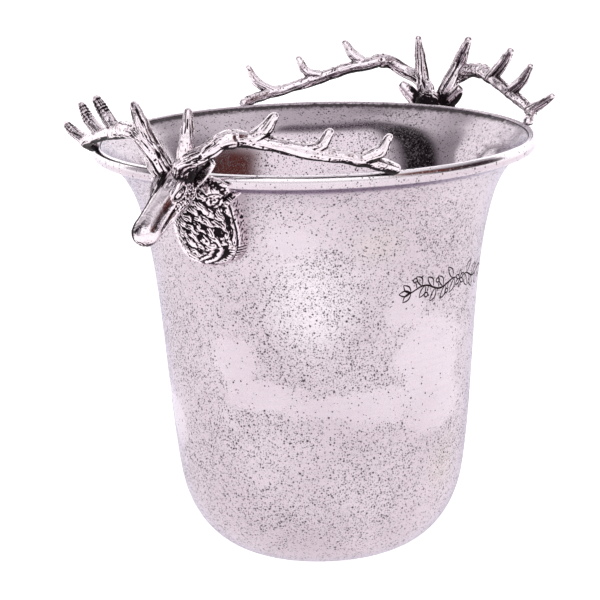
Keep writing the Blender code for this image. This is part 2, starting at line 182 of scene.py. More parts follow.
def spline(points, per_span):
    """Catmull-Rom curve through rows of any width, centripetal so that it doesn't overshoot."""
    points = np.array(points, float)
    counts = per_span if hasattr(per_span, "__len__") else [per_span] * (len(points) - 1)
    padded = np.vstack([2 * points[0] - points[1], points, 2 * points[-1] - points[-2]])
    curve = []

    def between(a, b, start, end):
        return (end - t) / (end - start) * a + (t - start) / (end - start) * b

    for i, count in enumerate(counts):
        p0, p1, p2, p3 = padded[i:i + 4]
        t0 = 0.0
        t1 = t0 + max(np.linalg.norm(p1 - p0), 1e-9) ** 0.5
        t2 = t1 + max(np.linalg.norm(p2 - p1), 1e-9) ** 0.5
        t3 = t2 + max(np.linalg.norm(p3 - p2), 1e-9) ** 0.5
        for k in range(count):
            t = t1 + (t2 - t1) * k / count
            a1, a2, a3 = between(p0, p1, t0, t1), between(p1, p2, t1, t2), between(p2, p3, t2, t3)
            curve.append(between(between(a1, a2, t0, t2), between(a2, a3, t1, t3), t1, t2))
    curve.append(points[-1])
    return np.array(curve)


def ring_faces(ring_count, sides):
    """Quads between rings of points, and a fan over each end that uses the two points after the rings."""
    faces = []
    for row in range(ring_count - 1):
        for i in range(sides):
            j = (i + 1) % sides
            faces.append((row * sides + i, row * sides + j, (row + 1) * sides + j, (row + 1) * sides + i))
    first, last = ring_count * sides, ring_count * sides + 1
    for i in range(sides):
        j = (i + 1) % sides
        faces.append((first, j, i))
        faces.append((last, (ring_count - 1) * sides + i, (ring_count - 1) * sides + j))
    return faces


def loft(rings):
    """Points and faces of a closed shape through rings of equally many points."""
    rings = [np.array(ring, float) for ring in rings]
    points = np.vstack(rings + [rings[0].mean(0)[None], rings[-1].mean(0)[None]])
    return points, ring_faces(len(rings), len(rings[0]))


def bar(stations, sides=12):
    """Points and faces of a round bar along (point, radius) stations, with domed ends."""
    rows = spline([[*point, radius] for point, radius in stations], 6)
    centres, radii = rows[:, :3], rows[:, 3]
    for end, sign in ((0, -1), (-1, 1)):
        heading = centres[end] - centres[end - sign]
        heading /= np.linalg.norm(heading)
        turns = np.radians([35, 62, 82])[::sign]
        cap = centres[end] + np.outer(radii[end] * np.sin(turns), heading)
        parts = (centres, cap), (radii, radii[end] * np.cos(turns))
        centres, radii = (np.concatenate(part[::sign]) for part in parts)
    rings = []
    side = np.array(Vector(centres[1] - centres[0]).orthogonal().normalized())
    for i, (centre, radius) in enumerate(zip(centres, radii)):
        ahead = centres[min(i + 1, len(centres) - 1)] - centres[max(i - 1, 0)]
        ahead /= np.linalg.norm(ahead)
        side = side - ahead * side.dot(ahead)
        side /= np.linalg.norm(side)
        other = np.cross(ahead, side)
        turns = np.linspace(0, math.tau, sides, endpoint=False)[:, None]
        rings.append(centre + side * np.cos(turns) * radius + other * np.sin(turns) * radius)
    return loft(rings)


def ball(centre, radii):
    """Points and faces of an ellipsoid."""
    rings = []
    for tilt in np.radians([-75, -50, -25, 0, 25, 50, 75]):
        turns = np.linspace(0, math.tau, 14, endpoint=False)
        ring = np.stack([np.cos(turns) * math.cos(tilt), np.sin(turns) * math.cos(tilt),
                         np.full(14, math.sin(tilt))], 1)
        rings.append(ring * np.array(radii) + np.array(centre))
    return loft(rings)


# Mesh work on castings

def read(items, attribute, width, kind=np.float32):
    """One attribute of all of a mesh's items, as rows of numbers."""
    flat = np.zeros(len(items) * width, kind)
    items.foreach_get(attribute, flat)
    return flat.reshape(-1, width)


class Clay:
    """A casting's mesh as arrays, so that its surface can be pushed about before it is cast."""

    def __init__(self, name, shapes, voxel, smoothing):
        points, faces = [], []
        for shape_points, shape_faces in shapes:
            start = len(points)
            points += [tuple(point * MM) for point in shape_points]
            faces += [tuple(i + start for i in face) for face in shape_faces]
        mesh = bpy.data.meshes.new(name)
        mesh.from_pydata(points, [], faces)
        obj = new_object(name, mesh)
        skin = obj.modifiers.new("skin", "REMESH")
        skin.mode = "VOXEL"
        skin.voxel_size = voxel * MM
        relax = obj.modifiers.new("relax", "SMOOTH")
        relax.factor = 0.5
        relax.iterations = smoothing
        graph = bpy.context.evaluated_depsgraph_get()
        self.mesh = bpy.data.meshes.new_from_object(obj.evaluated_get(graph))
        self.mesh.name = name
        bpy.data.objects.remove(obj, do_unlink=True)
        bpy.data.meshes.remove(mesh)
        self.points = read(self.mesh.vertices, "co", 3).astype(float) / MM
        self.edges = read(self.mesh.edges, "vertices", 2, np.int32)
        self.degree = np.bincount(self.edges.ravel(), minlength=len(self.points))[:, None].astype(float)
        self.refresh()

    def refresh(self):
        """Works out the normals again after the points have moved."""
        self.mesh.vertices.foreach_set("co", (self.points * MM).astype(np.float32).ravel())
        self.mesh.update()
        self.normals = read(self.mesh.vertex_normals, "vector", 3).astype(float)

    def averaged(self, rounds):
        """The points, averaged with their neighbours again and again."""
        points = self.points
        a, b = self.edges.T
        for _ in range(rounds):
            total = np.zeros_like(points)
            np.add.at(total, a, points[b])
            np.add.at(total, b, points[a])
            points = 0.5 * points + 0.5 * total / self.degree
        return points

    def push(self, heights):
        """Moves each point along its normal."""
        self.points = self.points + self.normals * np.asarray(heights)[:, None]
        self.refresh()

    def concavity(self, rounds):
        """How far each point lies below its surroundings, in millimetres."""
        return ((self.averaged(rounds) - self.points) * self.normals).sum(1)

    def cast(self, patina_and_shade, clean, black):
        """Stores how much patina and painted shade each point holds and returns the finished mesh.

        clean and black are the shares of the points below which there is none, and above which it is full.
        """
        low, high = np.quantile(patina_and_shade, (clean, black))
        layer = self.mesh.attributes.new("patina_and_shade", "FLOAT", "POINT")
        layer.data.foreach_set("value", np.clip((patina_and_shade - low) / (high - low), 0, 1).astype(np.float32))
        self.mesh.shade_smooth()
        self.mesh.update()
        return self.mesh


def grain(points, offset):
    """Smooth noise from -1 to 1 at each point."""
    return np.array([noise.noise(Vector(point) + Vector((offset, offset, offset))) for point in points])


def near(points, centre, radii):
    """Soft falloff from 1 at the centre to 0 at the edge of an ellipsoid."""
    reach = (((points - np.array(centre)) / np.array(radii)) ** 2).sum(1)
    return np.clip(1 - reach, 0, 1) ** 2


def along(points, path, radius):
    """Soft falloff from 1 on a path of points to 0 at radius from it."""
    path = spline(path, 10)
    nearest = np.zeros(len(points))
    for start in range(0, len(points), BLOCK):
        block = slice(start, start + BLOCK)
        nearest[block] = np.linalg.norm(points[block, None, :] - path[None], axis=2).min(1)
    return np.clip(1 - (nearest / radius) ** 2, 0, 1) ** 2


def ramp(values, low, high):
    """0 below low, 1 above high, and smooth between."""
    share = np.clip((values - low) / (high - low), 0, 1)
    return share * share * (3 - 2 * share)


# Antlers

def bent(pattern, stoutness, bends):
    """The pattern's beam and tines with each bend applied. The beam's foot and the tips stay in place."""
    def moved(stations, shares):
        raised = []
        for ((x, y, z), radius), share in zip(stations, shares):
            rise = sum(height * math.exp(-((abs(y) - place) / spread) ** 2)
                       for place, spread, height in bends)
            raised.append(((x, y, z + share * rise), radius * stoutness * ANTLER_STOUTNESS))
        return raised

    beam = moved(pattern["beam"], [0.0] + [1.0] * (len(pattern["beam"]) - 2) + [0.0])
    return [beam] + [moved(tine, np.linspace(1, 0, len(tine))) for tine in pattern["tines"]]


def bar_places(points, bars):
    """Each point's nearest bar: its number, the way out of its centreline, and the length and share along."""
    count = len(points)
    closest, number = np.full(count, 1e9), np.zeros(count, int)
    out, length, share = np.zeros((count, 3)), np.zeros(count), np.zeros(count)
    for k, stations in enumerate(bars):
        rows = spline([[*point, radius] for point, radius in stations], 24)
        centres, radii = rows[:, :3], rows[:, 3]
        headings = np.gradient(centres, axis=0)
        headings /= np.linalg.norm(headings, axis=1)[:, None]
        lengths = np.append(0, np.cumsum(np.linalg.norm(np.diff(centres, axis=0), axis=1)))
        for start in range(0, count, BLOCK):
            block = slice(start, start + BLOCK)
            gaps = np.linalg.norm(points[block, None, :] - centres[None], axis=2) - radii[None]
            best = gaps.argmin(1)
            gap = gaps[np.arange(len(best)), best]
            closer = gap < closest[block]
            where = np.arange(start, start + len(best))[closer]
            best = best[closer]
            away = points[where] - centres[best]
            away -= headings[best] * (away * headings[best]).sum(1)[:, None]
            out[where] = away / np.maximum(np.linalg.norm(away, axis=1), 1e-6)[:, None]
            closest[where], number[where] = gap[closer], k
            length[where], share[where] = lengths[best], lengths[best] / lengths[-1]
    return number, out, length, share


def antler_mesh(name, bars, seed, wear_and_light):
    """One antler. The last argument paints light on the faces that point up and outward, or inward if it is
    negative, by thinning their patina, and paints shade on the faces turned away; its size also sets how worn
    the tines are.
    """
    foot = np.array(bars[0][-1][0]) + (0.0, 0.0, -0.8)
    shapes = [bar(stations) for stations in bars] + [ball(foot, (3.6, 3.0, 1.9))]
    clay = Clay(name, shapes, ANTLER_VOXEL, 4)
    number, out, length, tip_share = bar_places(clay.points, bars)
    reach = length + 37.0 * number
    lightly_worn = abs(wear_and_light) < 0.3
    tine_wear = np.where(number == 1, 0.15, 0.25 if lightly_worn else 0.7)
    worn = np.where(number == 0, ramp(length, 30.0, 46.0), tine_wear)
    dusky = ramp(length, 6.0, 14.0) * (number > 1) * (lightly_worn and wear_and_light > 0)
    drift = Vector((0.55, 0.62, 0.56))
    streaks = np.array([
        noise.noise(Vector(direction * 2.6) + drift * (distance * 0.075 + seed))
        + 0.6 * noise.noise(Vector(direction * 5.5) + drift * (distance * 0.14 - seed))
        for direction, distance in zip(out, reach)])
    lumps = grain(clay.points * 0.16, seed)
    pores = grain(clay.points * 0.85, seed + 5)
    nicks = ramp(-grain(clay.points * 0.80, seed + 12), 0.36, 0.52)
    calm = (1 - 0.75 * ramp(tip_share, 0.80, 1.0)) * (1 - 0.80 * worn)
    furrows = ramp(-streaks, 0.10, 0.55)
    clay.push(0.50 * streaks * calm - 0.35 * furrows * calm + 0.60 * lumps + 0.08 * pores - 0.16 * nicks)
    (before, radius), (after, _) = bars[0][4:6]
    knuckle = (np.array(before) + np.array(after)) / 2
    ahead = np.array(after) - np.array(before)
    step = (clay.points - knuckle) @ (ahead / np.linalg.norm(ahead)) + 0.8 * grain(clay.points * 0.3, seed)
    ring = ramp(-np.linalg.norm(clay.points - knuckle, axis=1), -2.1 * radius, -1.4 * radius)
    clay.push(ring * (0.35 * np.exp(-(step / 2.6) ** 2) - 0.50 * np.exp(-((step - 3.0) / 0.9) ** 2)))
    burr = near(clay.points, np.array(bars[0][1][0]) + (0.5, 0, -0.5), (6.5, 6.5, 4.0))
    clay.push(burr * (0.5 + 0.8 * grain(clay.points * 0.5, seed + 9)))
    clay.push(0.16 * dusky * np.sin(reach * math.tau / 2.2 + 1.5 * lumps))
    fine = clay.concavity(6)
    broad = clay.concavity(40)
    # How far each face turns towards the side that the painted light falls on.
    lit_side = clay.normals[:, 0] * (1 if wear_and_light >= 0 else -1)
    # Painted shade under the antler and on the faces turned away from the painted light; the next line also
    # darkens worn upward faces where the pore noise is high.
    lee = ramp(-clay.normals[:, 2], 0.0, 0.9) + 0.5 * ramp(-lit_side, 0.3, 0.95)
    lee += worn * ramp(clay.normals[:, 2], 0.80, 0.96) * ramp(pores, -0.5, 0.3)
    patina_and_shade = 2.4 * fine + 1.0 * broad + 0.60 * furrows * calm + 0.2 * pores + 0.70 * lee + 0.3 * nicks
    # Painted light: less patina on the faces that point up and towards the lit side.
    patina_and_shade -= abs(wear_and_light) * ramp(lit_side + 0.6 * clay.normals[:, 2], 0.0, 0.8)
    patina_and_shade += 0.8 * ramp(-clay.points[:, 2], -7.0, 1.0) * ramp(-np.abs(clay.points[:, 1]), -22.0, -14.0)
    patina_and_shade += 0.55 * dusky * (1 - 0.9 * ramp(tip_share, 0.93, 1.0))
    # Painted shade on the faces that point to the stag's left.
    patina_and_shade += (0.5 - abs(wear_and_light)) * 1.1 * ramp(clay.normals[:, 1], 0.35, 0.80)
    return clay.cast(patina_and_shade, 0.33, 0.62)


# Head

COSINE, SINE = math.cos(MUZZLE_TILT), math.sin(MUZZLE_TILT)
FROM_HEAD = np.array(((COSINE, 0, -SINE), (0, 1, 0), (SINE, 0, COSINE)))


def to_head(points):
    """Points of the stag's frame in the head's own: along the muzzle, to the left and up from its axis."""
    return (points - np.array(SKULL)) @ FROM_HEAD.T


def from_head(points):
    return np.atleast_2d(np.array(points, float)) @ FROM_HEAD + np.array(SKULL)


def to_left(points):
    """The points with those on the right side mirrored to the left."""
    return np.stack([points[:, 0], np.abs(points[:, 1]), points[:, 2]], 1)


def ear(side):
    """A cupped leaf whose hollow faces forward and down."""
    root, tip = EAR_ROOT * (1, side, 1), EAR_TIP * (1, side, 1)
    length = tip - root
    forward = np.array((1.0, 0.0, 0.0))
    wide = np.cross(length / np.linalg.norm(length), forward)
    rings = []
    for share in np.linspace(0, 1, 14):
        half = 4.4 * math.sin(math.pi * min(1.0, 0.14 + 0.74 * share)) ** 0.6 + 0.3
        centre = root + length * share + forward * (1.8 * math.sin(math.pi * share) - 0.4)
        ring = []
        for turn in np.linspace(0, math.tau, 18, endpoint=False):
            across, thick = math.cos(turn), math.sin(turn)
            bend = -1.9 * (1 - across * across) * math.sin(math.pi * share) ** 0.6
            ring.append(centre + wide * half * across + forward * (1.6 * thick + bend))
        rings.append(ring)
    return loft(rings)


def head_mesh():
    profile = spline(HEAD_SECTIONS, 6)
    rings = []
    for distance, rise, half_height, half_width in profile:
        ring = []
        for turn in np.linspace(0, math.tau, 40, endpoint=False):
            across, up = math.cos(turn), math.sin(turn)
            narrow = 1.0 if up > 0 else 1.0 - 0.30 * up * up * min(1.0, max(0.0, (distance + 4) / 14))
            box = 0.86 if distance > 12 else 0.94
            ring.append((distance,
                         math.copysign(abs(across) ** box, across) * half_width * narrow,
                         rise + math.copysign(abs(up) ** box, up) * half_height))
        rings.append(from_head(ring))
    shapes = [loft(rings), ear(1), ear(-1)]
    for side in (1, -1):
        shapes.append(ball(from_head((11.6, 6.9 * side, 3.5))[0], (2.3, 2.1, 1.9)))
        brow = from_head([(1.0, 6.3 * side, 6.0), (8.5, 7.3 * side, 6.3), (15.5, 6.0 * side, 4.8)])
        shapes.append(bar(list(zip(brow, (2.6, 1.9, 1.2)))))
    clay = Clay("stag_head", shapes, HEAD_VOXEL, 5)
    place = to_head(clay.points)
    mirrored = to_left(place)
    on_face = ramp(place[:, 0], -8, -2)
    ears = ramp(np.abs(clay.points[:, 1]), 9.8, 11.5) * ramp(clay.points[:, 2], -6.0, -3.0)
    from_eye = np.linalg.norm((mirrored - EYE) * (0.62, 0.55, 1.40), axis=1)
    socket = np.clip(1 - np.abs(from_eye - 2.5) / 0.8, 0, 1)
    lid = np.clip(1 - np.abs(from_eye - 3.5) / 0.8, 0, 1)
    work = (-0.55 * socket + 0.22 * lid) * (1 - ears)
    for height, path, radius in HEAD_CREASES:
        work += height * along(mirrored, path, radius)
    for height, centre, radii in HEAD_SPOTS:
        work += height * near(mirrored, centre, radii)
    clay.push(work * on_face)
    hide = ramp(-place[:, 2], -4.0, 1.0) * ramp(-place[:, 0], -21.0, -12.0) * on_face * (1 - ears)
    hide = np.maximum(hide, 0.12 * ramp(place[:, 0], 37.0, 40.0))
    stipple = grain(clay.points * 0.95, 3.0)
    fur = np.array([noise.noise(Vector((p[0] * 0.16, p[1] * 0.85, p[2] * 0.85))) for p in place])
    cup = np.clip(1 - np.abs(from_ear_line(clay.points)) / 2.0, 0, 1)
    fur_depth = (0.05 + 0.20 * (1 - ramp(place[:, 0], 12, 22))) * (1 - ears)
    clay.push(0.46 * stipple * hide + fur_depth * fur + 0.05 * stipple)
    fine = clay.concavity(6)
    broad = clay.concavity(60)
    muzzle = ramp(place[:, 0], 26, 34)
    # Painted shade on the flank that faces the stag's right.
    flank = ramp(-clay.normals[:, 1], 0.28, 0.50) * (1 - 0.80 * ramp(-clay.normals[:, 1], 0.66, 0.90))
    patina_and_shade = 2.6 * fine + 0.75 * broad + 0.50 * hide * ramp(-stipple, -0.1, 0.4)
    patina_and_shade += 0.6 * cup * ears * (clay.normals[:, 0] > -0.1)
    patina_and_shade += 0.35 * socket * (1 - ears) + 0.15 * ramp(-fur, 0.15, 0.5) * (1 - muzzle)
    # Painted shade on the undersides and on that flank.
    patina_and_shade += 0.35 * ramp(-clay.normals[:, 2], 0.2, 0.9) + 1.10 * flank * on_face
    # Painted shade on the faces turned back towards the shell, less on the ears.
    patina_and_shade += 0.60 * ramp(-clay.normals[:, 0], 0.2, 0.7) * (1 - 0.75 * ears)
    patina_and_shade += 0.95 * near(place, (9.0, -1.8, 8.0), (12.0, 4.2, 5.5))
    patina_and_shade += 0.70 * near(clay.points, (131.0, -8.0, 1.0), (9.0, 8.0, 9.0))
    patina_and_shade += 0.60 * near(clay.points, (127.0, 0.0, 8.0), (8.0, 7.0, 9.0)) * ramp(-place[:, 0], -2.0, 3.0)
    # Painted light: upper faces lighter, except on the ears.
    patina_and_shade -= 0.30 * ramp(clay.normals[:, 2], 0.35, 0.85) * (1 - ears)
    return clay.cast(patina_and_shade, 0.32, 0.58)


def from_ear_line(points):
    """Distance of each point from the centreline of the nearer ear."""
    root, tip = np.array((127.5, 5.5, -3.5)), EAR_TIP
    heading = (tip - root) / np.linalg.norm(tip - root)
    away = to_left(points) - root
    away -= np.outer(away @ heading, heading)
    return np.linalg.norm(away, axis=1)


# Neck

def shell_radius(height):
    """Radius of the shell's outside at a height counted from the rim, both in millimetres."""
    heights = OUTER_OUTLINE[:, 1] / MM - RIM_HEIGHT / MM
    return np.interp(height, heights, OUTER_OUTLINE[:, 0] / MM)


def curl(centre, facing, radius, sense):
    """A lock of hair rolled into a spiral that faces along facing."""
    facing = Vector(facing).normalized()
    up = (Vector((0, 0, 1)) - facing * facing.z).normalized()
    across = up.cross(facing) * sense
    stations = []
    for share in np.linspace(0, 1, 16):
        angle = -0.9 + math.tau * CURL_TURNS * share
        reach = radius * (1 - 0.90 * share)
        offset = (across * math.cos(angle) + up * math.sin(angle)) * reach + facing * 0.5 * radius * share
        stations.append((np.array(centre) + np.array(offset), CURL_THICKNESS * (1 - 0.35 * share)))
    return bar(stations, 10)


def tufts(clay, mask, spacing, seed):
    """Overlapping pointed locks, like shingles, that hang down over the surface."""
    draw = random.Random(seed)
    order = [i for i in range(len(clay.points)) if mask[i] > 0.3]
    draw.shuffle(order)
    chosen = []
    drift = np.stack([grain(clay.points * 0.33, seed + shift) for shift in (0, 20, 40)], 1) * 1.2
    for i in order:
        if all(np.linalg.norm(clay.points[i] - clay.points[j]) > spacing for j in chosen):
            chosen.append(i)
    height = np.zeros(len(clay.points))
    shade = np.zeros(len(clay.points))
    for i in chosen:
        centre, normal = clay.points[i], clay.normals[i]
        down = np.array((0.1, 1.10 + draw.uniform(-0.40, 0.40), -1.0))
        down -= normal * (down @ normal)
        down /= np.linalg.norm(down)
        side = np.cross(normal, down)
        away = clay.points + drift - centre
        length = spacing * draw.uniform(1.7, 2.5)
        width = spacing * draw.uniform(0.52, 0.85)
        x, y, lift = away @ side, away @ down / length, np.abs(away @ normal)
        share = np.clip(y + 0.42, 0, 1)
        half = width * np.sqrt(np.clip(1 - (np.abs(y + 0.02) / 0.56) ** 2.4, 0, 1)) * (1.25 - 0.90 * share)
        inside = (np.abs(x) < half) & (np.abs(y) < 0.56) & (lift < spacing)
        edge = np.clip(1 - (np.abs(x) / np.maximum(half, 1e-3)) ** 2, 0, 1)
        rise = (0.15 + 1.70 * share) * edge ** 0.6 * inside * draw.uniform(0.55, 1.30)
        hairs = 0.16 * np.sin(x * 4.6 + draw.uniform(0, 6)) * inside
        higher = rise > height
        height = np.where(higher, rise, height)
        shade = np.where(higher, hairs, shade)
    return height, shade


def neck_mesh():
    profile = spline(NECK_SECTIONS, 5)
    rings = []
    for height, centre, depth, half_width in profile:
        wall = shell_radius(height) - NECK_EMBED
        turns = np.radians(np.linspace(-90, 90, 31))
        ring = [(centre + depth * math.cos(turn), half_width * math.sin(turn), height) for turn in turns]
        for share in np.linspace(1, -1, 15):
            back = math.sqrt(wall ** 2 - (half_width * share) ** 2)
            if abs(share) == 1:
                ring.append((0.5 * centre + 0.5 * back, half_width * share, height))
            ring.append((min(back, centre - 0.5), half_width * share, height))
        rings.append(ring)
    shapes = [loft(rings)]
    for side in (1, -1):
        mirror = np.array((1, side, 1))
        for centre, facing, radius, sense in CURLS:
            shapes.append(curl(centre * mirror, facing * mirror, radius, sense * side))
        for strand in STRANDS:
            shapes.append(bar([(point * mirror, radius) for point, radius in strand]))
    clay = Clay("stag_neck", shapes, NECK_VOXEL, 5)
    points = clay.points
    wall_gap = np.hypot(points[:, 0], points[:, 1]) - shell_radius(points[:, 2])
    front = ramp(clay.normals[:, 0], 0.05, 0.45) * ramp(wall_gap, 2.5, 6.0) * ramp(-points[:, 2], 4.0, 9.0)
    outline = np.array([(half_width, height) for height, _, _, half_width in profile])
    outline = np.vstack([outline * (-1, 1), outline])
    inset = np.array([np.hypot(*(outline - point[1:]).T).min() for point in points])
    skirt = ramp(-points[:, 1], -4.0, 3.0) * ramp(-points[:, 2], 15.0, 22.0) * ramp(-inset, -9.5, -7.5)
    skirt = np.maximum(skirt, ramp(-points[:, 2], 37.0, 41.0) * ramp(-inset, -8.5, -7.0))
    wave = np.sin(inset * math.tau / 3.0 + 2.4 * grain(points * 0.17, 2.0))
    seam = np.exp(-((wall_gap - 9.0) / 0.75) ** 2) * ramp(points[:, 1], 4.0, 9.0)
    seam *= ramp(-points[:, 2], 12.0, 20.0)
    curls = np.zeros(len(points))
    for centre, _, radius, _ in CURLS:
        gap = np.linalg.norm(to_left(points) - centre, axis=1)
        curls = np.maximum(curls, ramp(-gap, -radius - 3.0, -radius - 1.2))
    front *= (1 - skirt) * (1 - curls)
    height, hairs = tufts(clay, front * (np.abs(points[:, 1]) < 18.5), 4.2, 11)
    strands = skirt * (0.55 * wave + 0.15 * grain(points * 0.5, 4.0)) - 0.8 * seam
    rough = grain(points * 0.7, 8.0)
    clay.push(1.05 * height * front + hairs * front * 0.9 + strands + 0.20 * rough)
    fine = clay.concavity(5)
    broad = clay.concavity(26)
    patina_and_shade = 2.1 * fine + 1.15 * broad + 0.40 * front * (height < 0.45)
    patina_and_shade += 0.55 * ramp(-wave, 0.45, 0.95) * skirt
    # The last term is painted shadow under the lip: darker towards the top of the neck, away from the curls.
    patina_and_shade += 0.25 * ramp(-rough, 0.2, 0.6) + 0.5 * seam + 0.20 * ramp(points[:, 2], -9.0, -3.0) * (1 - curls)
    return clay.cast(patina_and_shade, 0.40, 0.74)


# Shell

def cad_outline():
    """The CAD shell's outline as (radius, height), from the base's edge over the lip to the floor's edge."""
    form = bmesh.new()
    form.from_mesh(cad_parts[SHELL].data)
    bmesh.ops.remove_doubles(form, verts=form.verts, dist=0.00001)
    meridian = {v for v in form.verts if abs(v.co.x) < 0.00001 and v.co.y > 0.01}
    here = max((v for v in meridian if v.co.z < 0.00001), key=lambda v: v.co.y)
    outline, seen = [], set()
    while here:
        outline.append((here.co.y, here.co.z))
        seen.add(here)
        onward = [e.other_vert(here) for e in here.link_edges]
        here = next((v for v in onward if v in meridian and v not in seen), None)
    form.free()
    return np.array(outline)


def spaced(outline, spacing, least=1):
    counts = [max(least, round(np.linalg.norm(b - a) / spacing)) for a, b in zip(outline, outline[1:])]
    return spline(outline, counts)


CAD_OUTLINE = cad_outline()
CREST = int(CAD_OUTLINE[:, 1].argmax())
OUTER_OUTLINE = spaced(CAD_OUTLINE[:CREST + 1], 0.0005)


def tree(places):
    found = kdtree.KDTree(len(places))
    for i, place in enumerate(places):
        found.insert(place, i)
    found.balance()
    return found


def body_radius(height):
    return np.interp(height, OUTER_OUTLINE[:, 1], OUTER_OUTLINE[:, 0])


def on_body(azimuth, height):
    """A point of the body's outside. Azimuth 0 faces -Y, and +X is at a quarter turn."""
    radius = body_radius(height)
    return Vector((math.sin(azimuth) * radius, -math.cos(azimuth) * radius, height))


def on_wall(place):
    """Whether a point is clear of the bottom edge and the lip."""
    return 0.01 < place.z < RIM_HEIGHT - 0.01


def by_ornament(place):
    """Whether a point of the body is close enough to the ornament to look for its strokes."""
    half = ENGRAVING_HALF_LENGTH + 0.003
    return place.y < 0 and abs(place.z - ENGRAVING_CENTRE[1]) < 0.016 and abs(place.x) < half


def scroll_strokes():
    """The engraved ornament: strokes of (across, up, half width) in millimetres, about its centre.

    A sprig that runs both ways from a middle flower: a waving stem with closed leaves in pairs, berries on
    short stalks and a bud at each end.
    """
    strokes = []
    half = ENGRAVING_HALF_LENGTH / MM

    def stem(x):
        return 1.7 * math.sin(abs(x) * math.tau / 24.0)

    def stroke(points, widest, taper):
        shares = np.linspace(0, 1, len(points))
        widths = widest * (taper + (1 - taper) * np.sin(math.pi * shares) ** 0.8)
        strokes.append([(x, y, w) for (x, y), w in zip(points, widths)])

    def leaf(root, length, heading, bow, lean=0.0):
        direction = np.array((math.cos(heading), math.sin(heading)))
        normal = np.array((-direction[1], direction[0]))
        for bend, widest in ((bow + lean, 0.46), (-bow + lean, 0.46)):
            points = [np.array(root) + direction * length * share + normal * bend * math.sin(math.pi * share)
                      for share in np.linspace(0, 1, 36)]
            stroke([tuple(point) for point in points], widest, 0.45)

    def berry(root, end):
        root, end = np.array(root), np.array(end)
        stroke([tuple(root + (end - root) * share) for share in np.linspace(0, 1, 16)], 0.36, 0.6)
        centre = end + (end - root) / np.linalg.norm(end - root) * 1.2
        stroke([(centre[0] + 1.2 * math.cos(turn), centre[1] + 1.2 * math.sin(turn))
                for turn in np.linspace(0, math.tau, 40)], 0.42, 1.0)

    for side in (-1, 1):
        stroke([(side * x, stem(x)) for x in np.linspace(3.0, half - 8.0, 160)], 0.62, 0.6)
        for k, x in enumerate((6.5, 14.5, 22.5, 30.5)):
            for up, turn in ((1, 0.95), (-1, 1.05)):
                heading = up * turn if side > 0 else math.pi - up * turn
                leaf((side * (x + up), stem(x + up)), 8.6 - 0.5 * k, heading, 1.6, side * up * 0.7)
            up = 1 if k % 2 else -1
            berry((side * (x + 4.2), stem(x + 4.2)), (side * (x + 5.4), stem(x + 4.2) + up * 3.6))
        for heading in (-0.75, 0.0, 0.75):
            turn = heading if side > 0 else math.pi - heading
            leaf((side * (half - 8.0), stem(half - 8.0)), 7.6 - abs(heading), turn, 1.5)
    for k in range(6):
        leaf((0, 0), 5.0, math.tau * (k + 0.5) / 6, 1.1)
    return strokes


def around(azimuth, height):
    """Distances in millimetres across and up from the ornament's centre, for a place on the body."""
    return azimuth * body_radius(ENGRAVING_CENTRE[1]) / MM, (height - ENGRAVING_CENTRE[1]) / MM


def pit_list():
    """The larger casting pits, as (azimuth, height, radius), thickest where the noise is high."""
    draw = random.Random(5)
    pits = []
    while len(pits) < PIT_COUNT:
        azimuth = draw.uniform(-math.pi, math.pi)
        height = draw.uniform(0.012, RIM_HEIGHT - 0.013)
        if draw.random() > body_radius(height) / RIM_RADIUS:
            continue
        spot = on_body(azimuth, height)
        crowd = noise.noise(spot * 26.0) + 0.5 * noise.noise(spot * 70.0)
        crowd += zone(PITTED_CROWDS, azimuth, height) - 1.3 * zone(POLISHED_PATCHES, azimuth, height)
        if draw.random() < 0.22 + 0.8 * crowd:
            pits.append((azimuth, height, draw.uniform(0.22, 0.36) * (1 + 1.1 * draw.random() ** 4) * MM))
    return pits


# Zones of the body's surface: azimuth and height of the centre, and half sizes, in degrees and metres
POLISHED_PATCHES = [
    (-90, 0.124, 9, 0.013), (-78, 0.105, 15, 0.008), (-56, 0.098, 16, 0.006), (-36, 0.097, 13, 0.010),
    (-15, 0.122, 14, 0.022), (-12, 0.094, 14, 0.014), (-66, 0.190, 7, 0.007), (-27, 0.150, 7, 0.012),
    (40, 0.118, 10, 0.010), (56, 0.108, 14, 0.006), (76, 0.098, 12, 0.009), (88, 0.122, 6, 0.013),
    (128, 0.105, 12, 0.007), (146, 0.112, 9, 0.013), (170, 0.133, 8, 0.015), (-172, 0.152, 9, 0.006),
    (-147, 0.092, 14, 0.007), (-131, 0.082, 8, 0.013), (110, 0.166, 11, 0.005),
]
PITTED_CROWDS = [
    (-65, 0.122, 14, 0.013), (-44, 0.127, 7, 0.011), (-52, 0.177, 7, 0.010), (-118, 0.127, 15, 0.034),
    (-102, 0.077, 18, 0.016), (-14, 0.192, 12, 0.014), (-47, 0.030, 9, 0.008), (-80, 0.036, 16, 0.010),
    (30, 0.085, 16, 0.020), (75, 0.130, 14, 0.024), (140, 0.060, 20, 0.016), (-165, 0.150, 18, 0.020),
    (105, 0.190, 14, 0.012), (-140, 0.180, 14, 0.012),
]
BRIGHT_ZONES = [(-60, 0.156, 14, 0.026), (40, 0.160, 16, 0.020), (150, 0.090, 18, 0.020)]
STRAW_ZONES = [(-4, 0.057, 10, 0.015), (-38, 0.186, 10, 0.012), (120, 0.140, 14, 0.018)]


def zone(zones, azimuth, height):
    """1 inside the zones and 0 outside, with a soft edge."""
    best = 0.0
    for centre, level, wide, tall in zones:
        turn = (math.degrees(azimuth) - centre + 180) % 360 - 180
        reach = math.hypot(turn / wide, (height - level) / tall)
        best = max(best, min(1.0, max(0.0, 1.9 - 1.2 * reach)))
    return best


